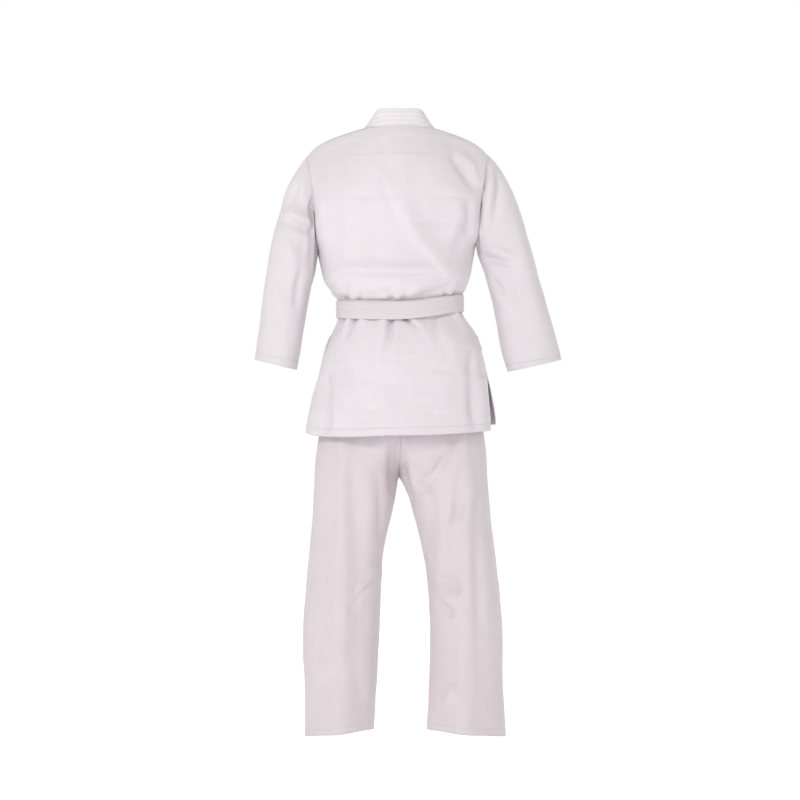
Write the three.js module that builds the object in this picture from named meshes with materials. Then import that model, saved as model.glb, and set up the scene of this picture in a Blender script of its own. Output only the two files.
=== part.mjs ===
// A martial arts uniform in the shape it has when it is worn: jacket, trousers and belt, with no wearer.
// Millimetres, +Z up. The wearer faces -Y, so +X is the wearer's left and the back of the jacket faces +Y.
// Heights below are above the soles of the wearer's feet. The exported group sits lower by NAPE_HEIGHT,
// so that the origin is on the wearer's centre line, level with the collar seam at the nape.

import * as THREE from "three";

// ---- driving dimensions ----
const NAPE_HEIGHT = 1522;
const SHOULDER_TIP_HEIGHT = 1462;
const ARMPIT_HEIGHT = 1250;
const VENT_TOP_HEIGHT = 1003;
const JACKET_HEM_HEIGHT = 808;
const BELT_HEIGHT = 1098;
const BELT_WIDTH = 40;
const BELT_TILT = 0.055;
const WAIST_HEIGHT = 1052;
const HIP_HEIGHT = 940;
const HIP_RADIUS = 235;

const ARMPIT_HALF_WIDTH = 184;
const SHOULDER_HALF_WIDTH = 204;
const ARMHOLE_HALF_DEPTH = 60;
const SHOULDER_DEPTH = 8;
const NAPE_DEPTH = 52;

const CLOTH = 2.4;
const LAPEL_CLOTH = 4;
const BELT_CLOTH = 3.2;
const LAYER = 6.5;
const SEAM_GAP = 1.2;

// ---- finishes ----
const jacketCotton = new THREE.MeshStandardMaterial({ color: 0xf0ecee, roughness: 0.92, metalness: 0 });
const trouserCotton = new THREE.MeshStandardMaterial({ color: 0xebe4e8, roughness: 0.9, metalness: 0 });
const beltCotton = new THREE.MeshStandardMaterial({ color: 0xe9e4e6, roughness: 0.88, metalness: 0 });

// ---- small helpers ----
const { clamp, degToRad, lerp, smoothstep } = THREE.MathUtils;
const FULL_TURN = 2 * Math.PI;

// A smooth curve through rows of [position, value, value, ...], with rows in rising order of position.
function profile(rows) {
  const places = rows.map((row) => row[0]);
  const values = rows.flatMap((row) => row.slice(1));
  const curve = new THREE.CubicInterpolant(places, values, rows[0].length - 1);
  return (at) => [...curve.evaluate(clamp(at, places[0], places.at(-1)))];
}

// A rounded value between -1 and 1 that keeps its sign.
const rounded = (value, power) => Math.sign(value) * Math.abs(value) ** power;

// The point of a surface moved out along its normal. u runs anticlockwise seen from above and v runs up.
function offsetFrom(surface, u, v, distance) {
  const step = 1e-3;
  const along = surface(u + step, v).sub(surface(u - step, v));
  const up = surface(u, Math.min(v + step, 1)).sub(surface(u, Math.max(v - step, 0)));
  const normal = along.cross(up).normalize();
  return surface(u, v).addScaledVector(normal, distance);
}

const uniform = new THREE.Group();
uniform.position.z = -NAPE_HEIGHT;

function addPiece(name, geometry, finish) {
  const piece = new THREE.Mesh(geometry, finish);
  piece.name = name;
  uniform.add(piece);
}

// A sheet of cloth: a flat block of cells, bent so that it lies on surface(u, v) with u across and v up.
function addSheet(name, finish, thickness, columns, rows, surface, layer = () => 0) {
  const geometry = new THREE.BoxGeometry(1, 1, 1, columns, rows, 1);
  const points = geometry.getAttribute("position");
  for (let i = 0; i < points.count; i++) {
    const u = points.getX(i) + 0.5;
    const v = points.getY(i) + 0.5;
    const distance = points.getZ(i) * thickness + layer(u, v);
    points.setXYZ(i, ...offsetFrom(surface, u, v, distance));
  }
  addPiece(name, geometry, finish);
}

// A closed tube of cloth: a thick ring turned on a lathe, then pulled onto surface(u, v) with u once round.
function addTube(name, finish, thickness, segments, rows, surface) {
  const wall = [];
  for (let i = 0; i <= rows; i++) wall.push(new THREE.Vector2(2, i / rows));
  for (let i = rows; i >= 0; i--) wall.push(new THREE.Vector2(1, i / rows));
  wall.push(wall[0].clone());
  const geometry = new THREE.LatheGeometry(wall, segments);
  const points = geometry.getAttribute("position");
  const places = geometry.getAttribute("uv");
  for (let i = 0; i < points.count; i++) {
    const u = Math.round(places.getX(i) * segments) / segments;
    const corner = wall[Math.round(places.getY(i) * (wall.length - 1))];
    const distance = (corner.x - 1.5) * thickness;
    points.setXYZ(i, ...offsetFrom(surface, u, corner.y, distance));
  }
  addPiece(name, geometry, finish);
}

// ---- the trunk of the jacket ----
// [height, half width, half depth] of the jacket round the body
const jacketGirth = profile([
  [JACKET_HEM_HEIGHT, 212, 148],
  [900, 200, 142],
  [VENT_TOP_HEIGHT, 181, 132],
  [1036, 163, 121],
  [1050, 150, 111],
  [1066, 135, 100],
  [BELT_HEIGHT, 129, 96],
  [1131, 134, 101],
  [1146, 158, 122],
  [1180, 168, 130],
  [ARMPIT_HEIGHT, ARMPIT_HALF_WIDTH, 127],
]);
// [share of the way from armpit to shoulder, depth of the back, depth of the front] on the centre line
const upperDepth = profile([
  [0, 127, -127],
  [0.3, 127, -125],
  [0.55, 120, -112],
  [0.78, 98, -80],
  [0.92, 72, -30],
  [1, NAPE_DEPTH, 0],
]);

// A point of the trunk. face is 1 on the back and -1 on the front; across runs from -90 (wearer's right)
// to 90 degrees; rise is 0 where the side vents start, 0.5 at the armpit and 1 on the shoulder line.
const PER_RISE = 2 * (ARMPIT_HEIGHT - VENT_TOP_HEIGHT);
function trunkPoint(face, across, rise) {
  const sine = Math.sin(degToRad(across));
  const cosine = Math.max(Math.cos(degToRad(across)), 0);
  if (rise <= 0.5) {
    const height = VENT_TOP_HEIGHT + rise * PER_RISE;
    const [halfWidth, halfDepth] = jacketGirth(height);
    return new THREE.Vector3(halfWidth * sine, face * halfDepth * cosine ** 0.8, height);
  }
  const share = rise * 2 - 1;
  const [backDepth, frontDepth] = upperDepth(share);
  const middle = face > 0 ? backDepth : frontDepth;
  const armhole = face * ARMHOLE_HALF_DEPTH * Math.sin(Math.PI * share) ** 0.8;
  const side = SHOULDER_DEPTH * share ** 2 + armhole;
  const halfWidth = lerp(ARMPIT_HALF_WIDTH, SHOULDER_HALF_WIDTH, share);
  const depth = side + (middle - side) * cosine ** lerp(0.8, 9, share ** 4);
  const sideHeight = lerp(ARMPIT_HEIGHT, SHOULDER_TIP_HEIGHT, share);
  const middleHeight = lerp(ARMPIT_HEIGHT, NAPE_HEIGHT, share);
  return new THREE.Vector3(halfWidth * sine, depth, lerp(sideHeight, middleHeight, cosine ** 2));
}

const SIDE_ANGLE = 89.8;
const SHOULDER_END = 0.997;
const HEM_RISE = (JACKET_HEM_HEIGHT - VENT_TOP_HEIGHT) / PER_RISE;

addSheet("back_panel", jacketCotton, CLOTH, 16, 16, (u, v) =>
  trunkPoint(1, lerp(SIDE_ANGLE, -SIDE_ANGLE, u), v * SHOULDER_END),
);

// A second layer inside the upper back, whose lower edge is stitched across the shoulders.
addSheet(
  "shoulder_lining",
  jacketCotton,
  CLOTH,
  16,
  6,
  (u, v) => trunkPoint(1, lerp(58, -58, u), lerp(0.84, 0.985, v)),
  () => -LAYER,
);

// Where a front panel's free edge is, in degrees past the centre line on the panel's own side.
const freeEdge = profile([
  [HEM_RISE, -42],
  [0, -44],
  [0.2, -39],
  [0.5, -20],
  [0.72, 4],
  [0.88, 20],
  [1, 25],
]);
const LAPEL_ANGLE = 14;

// The left front lies over the right one, so it stands off by one layer until it is near the side seam.
const overlap = (across, rise) => (1 - smoothstep(across, 68, 86)) * (1 - smoothstep(rise, 0.82, 0.97));

function addFront(name, side, columns, rows, lowRise, highRise, sideAngle) {
  const riseAt = (v) => lerp(lowRise, highRise, v);
  const acrossAt = (u, v) => {
    const [edge] = freeEdge(riseAt(v));
    return side > 0 ? lerp(edge, sideAngle, u) : lerp(-sideAngle, -edge, u);
  };
  const surface = (u, v) => trunkPoint(-1, acrossAt(u, v), riseAt(v));
  const layer = (u, v) => (side > 0 ? LAYER * overlap(acrossAt(u, v), riseAt(v)) : 0);
  addSheet(name, jacketCotton, CLOTH, columns, rows, surface, layer);
}

addFront("left_front_panel", 1, 14, 16, 0, SHOULDER_END, SIDE_ANGLE);
addFront("right_front_panel", -1, 14, 16, 0, SHOULDER_END, SIDE_ANGLE);

// ---- the three hanging skirts below the side vents ----
const VENT_ANGLE = 88;
const FLAP_TOP = -SEAM_GAP / PER_RISE;

addSheet("back_flap", jacketCotton, CLOTH, 16, 6, (u, v) =>
  trunkPoint(1, lerp(VENT_ANGLE, -VENT_ANGLE, u), lerp(HEM_RISE, FLAP_TOP, v)),
);
addFront("front_flap", 1, 14, 6, HEM_RISE, FLAP_TOP, VENT_ANGLE);
addFront("under_flap", -1, 14, 6, HEM_RISE, FLAP_TOP, VENT_ANGLE);

// ---- the collar and lapels: one long band from vent to vent round the neck ----
const LAPEL_TOP = 0.92;
const NECK_START = 0.42;
const NECK_BLEND = 0.06;
const COLLAR_HEIGHT = 42;

function lapelPoint(side, rise, v) {
  const across = side * (freeEdge(rise)[0] - 1.4 - LAPEL_ANGLE * v);
  const point = trunkPoint(-1, across, rise);
  const stand = side > 0 ? LAYER * (1 - smoothstep(rise, 0.78, 0.92)) : -0.8;
  const out = new THREE.Vector3(point.x * 0.5, point.y, 0).normalize();
  return point.addScaledVector(out, stand);
}

// The part that stands up round the back of the neck, leaning in towards its upper edge.
function neckPoint(turn, v) {
  const angle = degToRad(lerp(110, -110, turn));
  const drop = 30 * smoothstep(Math.abs(angle), 0.9, 1.9);
  const halfWidth = lerp(83, 60, v);
  const x = halfWidth * Math.sin(angle);
  const y = 8 + (NAPE_DEPTH - 4 - 6 * v) * Math.cos(angle);
  return new THREE.Vector3(x, y, NAPE_HEIGHT + 2 - drop + COLLAR_HEIGHT * v);
}

function collarPoint(u, v) {
  const neck = neckPoint(clamp((u - NECK_START) / (1 - 2 * NECK_START), 0, 1), v);
  const left = lapelPoint(1, LAPEL_TOP * clamp(u / NECK_START, 0, 1), v);
  const right = lapelPoint(-1, LAPEL_TOP * clamp((1 - u) / NECK_START, 0, 1), v);
  const onNeck = smoothstep(u, NECK_START - NECK_BLEND, NECK_START + NECK_BLEND);
  const offNeck = smoothstep(u, 1 - NECK_START - NECK_BLEND, 1 - NECK_START + NECK_BLEND);
  return left.lerp(neck, onNeck).lerp(right, offNeck);
}

addSheet("collar_band", jacketCotton, LAPEL_CLOTH, 72, 2, collarPoint);

// Its two ends, which run on down the free edges of the skirts.
for (const [name, side] of [["left_lapel_end", 1], ["right_lapel_end", -1]]) {
  addSheet(name, jacketCotton, LAPEL_CLOTH, 6, 2, (u, v) =>
    lapelPoint(side, side > 0 ? lerp(HEM_RISE, FLAP_TOP, u) : lerp(FLAP_TOP, HEM_RISE, u), v),
  );
}

// ---- patches that strengthen the tops of the side vents ----
for (const [name, side] of [["left_vent_patch", 1], ["right_vent_patch", -1]]) {
  const surface = (u, v) => {
    const turn = side * lerp(-9, 9, u);
    const height = lerp(VENT_TOP_HEIGHT + 3, VENT_TOP_HEIGHT + 34, v);
    const [halfWidth, halfDepth] = jacketGirth(height);
    const x = side * halfWidth * Math.cos(degToRad(turn));
    return new THREE.Vector3(x, side * rounded(Math.sin(degToRad(turn)), 0.8) * halfDepth, height);
  };
  addSheet(name, jacketCotton, CLOTH, 4, 2, surface, () => LAYER + 1);
}

// ---- sleeves ----
// [way up from the cuff, outer x, outer height, inner x, inner height, half depth, middle y]
const leftSleeve = profile([
  [0, 339, 986, 242, 966, 58, -14],
  [0.18, 328, 1058, 229, 1050, 58, -10],
  [0.33, 320, 1119, 219, 1112, 58, -6],
  [0.44, 314, 1163, 212, 1150, 60, -3],
  [0.56, 305, 1221, 203, 1190, 61, 0],
  [0.68, 293, 1278, 197, 1216, 62, 2],
  [0.79, 275, 1328, 194, 1232, 63, 3],
  [0.9, 251, 1393, 192, 1242, 62, 4],
  [1, 209, 1460, 190, 1249, 60, 4],
]);
const rightSleeve = profile([
  [0, 378, 988, 256, 961, 46, -10],
  [0.12, 370, 1018, 240, 1008, 46, -8],
  [0.25, 356, 1067, 228, 1066, 47, -6],
  [0.37, 341, 1119, 216, 1124, 48, -4],
  [0.48, 328, 1163, 208, 1162, 50, -2],
  [0.64, 303, 1251, 199, 1206, 55, 0],
  [0.79, 279, 1331, 194, 1230, 58, 2],
  [0.9, 246, 1405, 192, 1242, 60, 4],
  [1, 209, 1460, 190, 1249, 60, 4],
]);

for (const [name, side, shape] of [["left_sleeve", 1, leftSleeve], ["right_sleeve", -1, rightSleeve]]) {
  addTube(name, jacketCotton, CLOTH, 20, 14, (u, v) => {
    const [outerX, outerZ, innerX, innerZ, halfDepth, middleY] = shape(v);
    const out = (Math.cos(u * FULL_TURN) + 1) / 2;
    const y = middleY + side * halfDepth * Math.sin(u * FULL_TURN);
    return new THREE.Vector3(side * lerp(innerX, outerX, out), y, lerp(innerZ, outerZ, out));
  });
}

// ---- belt: wound twice round the waist, knotted in front, with two hanging ends ----
function beltPoint(wrap, u, v) {
  const x = (142 + 5 * wrap) * Math.cos(u * FULL_TURN);
  const y = -5 + (114 + 5 * wrap) * rounded(Math.sin(u * FULL_TURN), 0.8);
  return new THREE.Vector3(x, y, BELT_HEIGHT + (v - 0.5) * BELT_WIDTH - BELT_TILT * x);
}
addTube("belt_inner_wrap", beltCotton, BELT_CLOTH, 32, 1, (u, v) => beltPoint(0, u, v));
addTube("belt_outer_wrap", beltCotton, BELT_CLOTH, 32, 1, (u, v) => beltPoint(1, u, v));

const knot = new THREE.SphereGeometry(1, 16, 10);
const knotPoints = knot.getAttribute("position");
for (let i = 0; i < knotPoints.count; i++) {
  const x = 33 * rounded(knotPoints.getX(i), 0.8);
  const y = 12 * rounded(knotPoints.getZ(i), 0.8);
  knotPoints.setXYZ(i, x, -138 - y, BELT_HEIGHT - 2 + 22 * rounded(knotPoints.getY(i), 0.8));
}
addPiece("belt_knot", knot, beltCotton);

// [way up from the tip, x, y, height] of the middle of the wearer's left end
const beltEnd = profile([
  [0, 84, -168, 842],
  [0.5, 52, -157, 952],
  [0.85, 28, -149, 1040],
  [1, 18, -142, 1071],
]);
for (const [name, side] of [["left_belt_end", 1], ["right_belt_end", -1]]) {
  addSheet(name, beltCotton, BELT_CLOTH, 2, 10, (u, v) => {
    const [x, y, z] = beltEnd(v);
    const across = (u - 0.5) * BELT_WIDTH * lerp(1, 0.72, smoothstep(v, 0.85, 1));
    return new THREE.Vector3(side * x + across * 0.96, y, z + side * across * 0.27);
  });
}

// ---- trousers ----
addTube("waist_casing", trouserCotton, CLOTH, 32, 2, (u, v) => {
  const x = 120 * Math.cos(u * FULL_TURN);
  const y = 84 * rounded(Math.sin(u * FULL_TURN), 0.8);
  return new THREE.Vector3(x, y, lerp(WAIST_HEIGHT, WAIST_HEIGHT + 38, v));
});

addSheet("drawcord_loop", trouserCotton, CLOTH, 2, 3, (u, v) =>
  new THREE.Vector3(lerp(-7, 7, u), -88.5 - 2 * Math.sin(Math.PI * v), lerp(1058, 1080, v)),
);

// Where a surface that hangs from the hip ends: a cylinder about the line the legs swing on.
const hipCut = (y, radius) => HIP_HEIGHT - Math.sqrt(radius ** 2 - y ** 2);

// [height, half width, depth on the centre line] of the seat
const seatGirth = profile([
  [700, 204, 82],
  [800, 193, 98],
  [870, 184, 110],
  [HIP_HEIGHT, 172, 116],
  [1000, 158, 112],
  [1030, 138, 100],
  [WAIST_HEIGHT, 121, 84],
]);

for (const [name, side] of [["left_seat", 1], ["right_seat", -1]]) {
  addSheet(name, trouserCotton, CLOTH, 20, 10, (u, v) => {
    const turn = lerp(-89.2, 89.2, u) * (Math.PI / 180);
    const [, lowDepth] = seatGirth(720);
    const lowest = hipCut(lowDepth * Math.sin(turn), HIP_RADIUS - 1);
    const height = lerp(lowest, WAIST_HEIGHT - SEAM_GAP, v);
    const [halfWidth, depth] = seatGirth(height);
    return new THREE.Vector3(side * halfWidth * Math.cos(turn), side * depth * rounded(Math.sin(turn), 0.75), height);
  });
}

// The underarm of the trousers: a diamond of cloth let into the crotch.
addSheet("crotch_gusset", trouserCotton, CLOTH, 6, 8, (u, v) => {
  const y = lerp(-70, 70, v);
  const halfWidth = lerp(36, 8, Math.abs(v - 0.5) * 2);
  return new THREE.Vector3(lerp(halfWidth, -halfWidth, u), y, hipCut(y, HIP_RADIUS - 5));
});

// [way up from the hem, inner x, outer x, half depth, middle y]
const leftLeg = profile([
  [0, 57, 217, 84, 4],
  [0.15, 54, 217, 85, 4],
  [0.3, 49, 222, 87, 2],
  [0.45, 45, 225, 88, 0],
  [0.6, 41, 217, 89, 0],
  [0.75, 34, 210, 91, 0],
  [0.88, 18, 207, 93, 0],
  [1, 4, 204, 92, 0],
]);
const rightLeg = profile([
  [0, 57, 246, 84, 4],
  [0.15, 63, 240, 85, 4],
  [0.3, 67, 239, 87, 2],
  [0.45, 68, 237, 88, 0],
  [0.6, 64, 229, 89, 0],
  [0.75, 53, 221, 91, 0],
  [0.9, 32, 213, 93, 0],
  [1, 4, 207, 92, 0],
]);
const HEM_INNER = 129;
const HEM_OUTER = 111;

for (const [name, side, shape] of [["left_leg", 1, leftLeg], ["right_leg", -1, rightLeg]]) {
  addTube(name, trouserCotton, CLOTH, 24, 14, (u, v) => {
    const [innerX, outerX, halfDepth, middleY] = shape(v);
    const cosine = Math.cos(u * FULL_TURN);
    const boxed = lerp(0.95, cosine < 0 ? 0.6 : 0.8, v ** 3);
    const x = (innerX + outerX) / 2 + ((outerX - innerX) / 2) * rounded(cosine, boxed);
    const y = middleY + side * halfDepth * rounded(Math.sin(u * FULL_TURN), boxed);
    const hem = lerp(HEM_OUTER, HEM_INNER, ((1 - cosine) / 2) ** 2);
    return new THREE.Vector3(side * x, y, lerp(hem, hipCut(y, HIP_RADIUS + 1), v));
  });
}

export default uniform;
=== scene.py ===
import bisect
import math

import bmesh
import bpy
import numpy as np
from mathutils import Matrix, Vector, noise
from mathutils.bvhtree import BVHTree


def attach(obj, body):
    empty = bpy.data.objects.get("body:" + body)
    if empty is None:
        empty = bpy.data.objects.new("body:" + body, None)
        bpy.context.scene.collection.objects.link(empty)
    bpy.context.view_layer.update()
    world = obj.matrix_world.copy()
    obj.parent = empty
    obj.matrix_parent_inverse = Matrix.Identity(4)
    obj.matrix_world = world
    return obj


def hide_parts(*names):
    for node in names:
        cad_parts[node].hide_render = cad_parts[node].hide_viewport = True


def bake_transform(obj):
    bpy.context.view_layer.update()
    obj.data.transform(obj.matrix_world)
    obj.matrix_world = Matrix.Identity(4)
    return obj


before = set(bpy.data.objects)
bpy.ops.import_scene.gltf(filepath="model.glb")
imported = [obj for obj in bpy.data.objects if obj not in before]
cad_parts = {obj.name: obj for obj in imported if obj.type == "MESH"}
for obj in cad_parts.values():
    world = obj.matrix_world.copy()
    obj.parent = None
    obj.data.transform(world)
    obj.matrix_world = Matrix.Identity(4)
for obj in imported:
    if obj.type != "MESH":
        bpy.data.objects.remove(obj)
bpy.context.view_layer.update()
scene = bpy.context.scene

napeHeight = 1522  # the row's origin, in mm above the soles; every table below is in mm above the soles


def lerp(a, b, t):
    return a + (b - a) * t


def smooth(x, low, high):
    t = min(max((x - low) / (high - low), 0), 1)
    return t * t * (3 - 2 * t)


def rounded(value, power):
    return math.copysign(abs(value) ** power, value)


def curveThrough(*rows):  # rows of (place, value, value, ...), joined smoothly
    places = [row[0] for row in rows]

    def slope(i, k):
        low, high = max(i - 1, 0), min(i + 1, len(rows) - 1)
        return (rows[high][k] - rows[low][k]) / (places[high] - places[low])

    def at(x):
        x = min(max(x, places[0]), places[-1])
        i = min(max(bisect.bisect_right(places, x), 1), len(rows) - 1)
        step = places[i] - places[i - 1]
        t = (x - places[i - 1]) / step
        values = []
        for k in range(1, len(rows[0])):
            a, b = rows[i - 1][k], rows[i][k]
            ma, mb = slope(i - 1, k) * step, slope(i, k) * step
            values.append(
                a + ma * t + (3 * (b - a) - 2 * ma - mb) * t * t + (2 * (a - b) + ma + mb) * t**3
            )
        return values

    return at


def place(x, y, z):  # from millimetres above the soles to metres in the row frame
    return Vector((x / 1000, y / 1000, (z - napeHeight) / 1000))


# The jacket: heights above the soles, and widths out from the middle.
jacketSizes = {
    "ventTop": 1003,
    "armpit": 1250,
    "shoulderTip": 1463,
    "neckBack": 1520,
    "leftShoulder": 214,
    "rightShoulder": 204,
    "layerGap": 7,  # between the two fronts where they overlap
    "rowsAboveVent": 48,
    "rowsBelowVent": 19,
    "thickness": 0.0022,  # metres, as the laid sizes are: the width and length that the weave follows
    "backLaid": (0.6, 0.76),
    "frontLaid": (0.45, 0.76),
    "sleeveLaid": (0.36, 0.5),
}
ventTop = jacketSizes["ventTop"]
armpit = jacketSizes["armpit"]
perRise = 2 * (armpit - ventTop)  # a rise of 0 is the top of the vents, 0.5 the armpit and 1 the shoulder
riseStep = 0.5 / 24
hemRise = -jacketSizes["rowsBelowVent"] * riseStep

# height, left half width, right half width, depth of the back, depth of the front
worn = curveThrough(
    (808, 207, 207, 146, 146),
    (900, 194, 201, 142, 142),
    (ventTop, 172, 189, 134, 133),
    (1036, 160, 172, 124, 121),
    (1056, 149, 153, 112, 109),
    (1074, 141, 142, 103, 101),
    (1098, 139, 139, 100, 98),
    (1122, 140, 141, 103, 101),
    (1134, 149, 147, 112, 110),
    (1158, 170, 157, 127, 122),
    (1180, 177, 162, 134, 127),
    (armpit, 188, 173, 129, 127),
)
cut = curveThrough(
    (808, 212, 212, 150, 150),
    (ventTop, 194, 198, 144, 142),
    (1098, 176, 174, 130, 127),
    (1180, 186, 176, 138, 133),
    (armpit, 191, 177, 131, 129),
)
upperDepth = curveThrough(
    (0, 129, -127), (0.3, 128, -125), (0.55, 121, -112), (0.78, 99, -80), (0.92, 73, -32), (1, 54, 54)
)


def beltHeight(x):  # the belt's middle line rises towards the wearer's right
    return 1095 + (3 * (x / 147) ** 2 if x > 0 else 19 * (-x / 147) ** 1.6)


def trunkPoint(face, across, rise, girth=worn, inset=0):
    sine = math.sin(math.radians(across))
    cosine = max(math.cos(math.radians(across)), 0)
    if rise <= 0.5:
        height = ventTop + rise * perRise
        climb = (beltHeight(143 * sine) - 1098) * math.exp(-(((height - 1098) / 70) ** 2))
        left, right, back, front = girth(height - climb)
        width, depth = (left if across > 0 else right), (back if face > 0 else front)
        x, y = (width - inset) * sine, face * (depth - inset) * cosine**0.8
        if rise < 0:  # the vents open towards the hem, and the hem isn't level
            low = smooth(-rise, 0, -hemRise)
            y += face * 10 * low * smooth(abs(across), 60, 90)
            if face > 0:
                x += low * (15 * smooth(across, 55, 90) - 6 * smooth(-across, 55, 90))
                towardsRight = 6 * smooth(-across, 0, 80)
                towardsLeft = 5 * smooth(across, 0, 40)
                height += low * (5 + towardsRight - towardsLeft + 6 * smooth(across, 60, 90))
            else:
                x -= 14 * low * smooth(-across, 50, 90)
                height += low * 22 * smooth(abs(across), 30, 90)
        return place(x, y, height)
    share = rise * 2 - 1
    backDepth, frontDepth = upperDepth(share)
    middle = (backDepth if face > 0 else frontDepth) - face * inset
    armhole = face * (60 - inset * 0.6) * max(math.sin(math.pi * share), 0) ** 0.8
    side = 8 * share**2 + armhole
    left, right = girth(armpit)[:2]
    if across > 0:
        width = lerp(left, jacketSizes["leftShoulder"], share)
    else:
        width = lerp(right, jacketSizes["rightShoulder"], share)
    depth = side + (middle - side) * cosine ** lerp(0.8, 9, share**4)
    atSide = lerp(armpit, jacketSizes["shoulderTip"], share)
    atMiddle = lerp(armpit, jacketSizes["neckBack"], share)
    height = lerp(atSide, atMiddle, cosine**2)
    height -= 5 * smooth(abs(across), 66, 90) * smooth(share, 0.6, 1)
    return place((width - inset) * sine, depth, height - inset * share)


edgeOf = curveThrough((hemRise, -42), (0, -44), (0.2, -39), (0.5, -20), (0.72, 4), (0.88, 20), (1, 25))


def overlap(across, rise):
    return (1 - smooth(across, 68, 87)) * (1 - smooth(rise, 0.82, 0.97))


def frontPoint(side, across, rise, girth=worn):  # across is measured towards the panel's own side
    point = trunkPoint(-1, side * across, rise, girth)
    if side > 0:
        out = Vector((point.x * 0.6, point.y, 0)).normalized()
        return point + out * jacketSizes["layerGap"] / 1000 * overlap(across, rise)
    under = (1 - smooth(across, -18, 8)) * (1 - smooth(rise, 0.72, 0.9))
    return point.lerp(trunkPoint(-1, side * across, rise, girth, 9), under)


# way up from the cuff, outer x, outer height, inner x, inner height, half depth, middle y
sleeveShape = {
    1: curveThrough(
        (0, 339, 988, 242, 965, 58, -14),
        (0.18, 328, 1058, 229, 1050, 58, -10),
        (0.33, 320, 1119, 219, 1112, 58, -6),
        (0.44, 314, 1163, 212, 1150, 60, -3),
        (0.56, 305, 1221, 203, 1190, 61, 0),
        (0.68, 293, 1278, 197, 1216, 62, 2),
        (0.79, 277, 1328, 194, 1232, 63, 3),
        (0.9, 257, 1393, 191, 1242, 62, 4),
        (1, 215, 1460, 188, 1250, 60, 4),
    ),
    -1: curveThrough(
        (0, 378, 988, 256, 961, 48, -10),
        (0.12, 370, 1018, 240, 1008, 48, -8),
        (0.25, 356, 1067, 228, 1066, 48, -6),
        (0.37, 341, 1119, 216, 1124, 49, -4),
        (0.48, 328, 1163, 206, 1162, 51, -2),
        (0.64, 303, 1251, 192, 1206, 55, 0),
        (0.79, 279, 1331, 182, 1230, 58, 2),
        (0.9, 246, 1408, 177, 1242, 60, 4),
        (1, 205, 1461, 173, 1250, 60, 4),
    ),
}


def sleevePoint(side, turn, v, scale=1.0):
    outerX, outerZ, innerX, innerZ, depth, middleY = sleeveShape[side](v)
    out = (1 + math.cos(2 * math.pi * turn) * scale) / 2
    x, z = lerp(innerX, outerX, out), lerp(innerZ, outerZ, out)
    ring = place(side * x, middleY + depth * scale * math.sin(2 * math.pi * turn), z)
    near = smooth(v, 0.84, 1)
    if near and scale == 1:
        face, rise = (1, 1 - turn) if turn <= 0.5 else (-1, turn)
        ring = ring.lerp(trunkPoint(face, side * 90, rise), near)
    return ring


# The trousers: heights above the soles.
trouserSizes = {
    "crotch": 714,
    "waist": 1052,
    "seatJoined": 800,  # where the two legs' tubes have become one seat
    "outerHem": 112,
    "innerHem": 130,
    "thickness": 0.002,  # metres
    "laid": (0.56, 1.0),
}
crotch = trouserSizes["crotch"]
waist = trouserSizes["waist"]
# height, inner x, outer x, half depth
legShape = {
    1: curveThrough(
        (100, 55, 226, 84),
        (188, 50, 223, 85),
        (246, 46, 224, 86),
        (308, 44, 230, 88),
        (368, 42, 231, 89),
        (424, 41, 227, 89),
        (470, 40, 222, 89),
        (552, 36, 214, 91),
        (624, 19, 207, 92),
        (654, 11, 206, 92),
        (crotch, 0, 203, 90),
    ),
    -1: curveThrough(
        (100, 52, 254, 84),
        (232, 60, 246, 86),
        (334, 65, 245, 88),
        (424, 65, 239, 89),
        (501, 61, 231, 90),
        (569, 52, 222, 91),
        (610, 42, 216, 91),
        (658, 30, 213, 92),
        (692, 15, 210, 91),
        (crotch, 0, 209, 90),
    ),
}
# height, left half width, right half width, depth
seatShape = curveThrough(
    (crotch, 203, 209, 96),
    (800, 193, 202, 106),
    (870, 184, 190, 113),
    (940, 172, 176, 117),
    (1000, 158, 160, 112),
    (1030, 138, 138, 100),
    (waist, 122, 122, 86),
)
crotchRow = 50 / 78


def trouserPoint(side, u, v, stretch=1.0, inset=0):
    turn = lerp(-math.pi, math.pi, u)
    if v <= crotchRow:
        across = (1 - math.cos(turn)) / 2
        hem = lerp(trouserSizes["outerHem"], trouserSizes["innerHem"], across) + 11 * max(math.sin(turn), 0)
        height = lerp(hem, crotch, v / crotchRow)
    else:
        height = lerp(crotch, waist, (v - crotchRow) / (1 - crotchRow))
    inner, outer, depth = legShape[side](height)
    legX = (inner + outer) / 2 + ((outer - inner) / 2 - inset) * math.cos(turn)
    legY = (depth - inset) * math.sin(turn)
    left, right, seatDepth = seatShape(height)
    seatX = ((left if side > 0 else right) - inset) * math.cos(turn / 2)
    seatY = (seatDepth - inset) * rounded(math.sin(turn / 2), 0.75)
    joined = smooth(height, crotch, trouserSizes["seatJoined"])
    height = waist + (height - waist) * stretch
    return place(side * lerp(legX, seatX, joined), lerp(legY, seatY, joined), height)


def newObject(name, bm):
    mesh = bpy.data.meshes.new(name)
    bm.to_mesh(mesh)
    bm.free()
    made = bpy.data.objects.new(name, mesh)
    scene.collection.objects.link(made)
    return made


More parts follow.
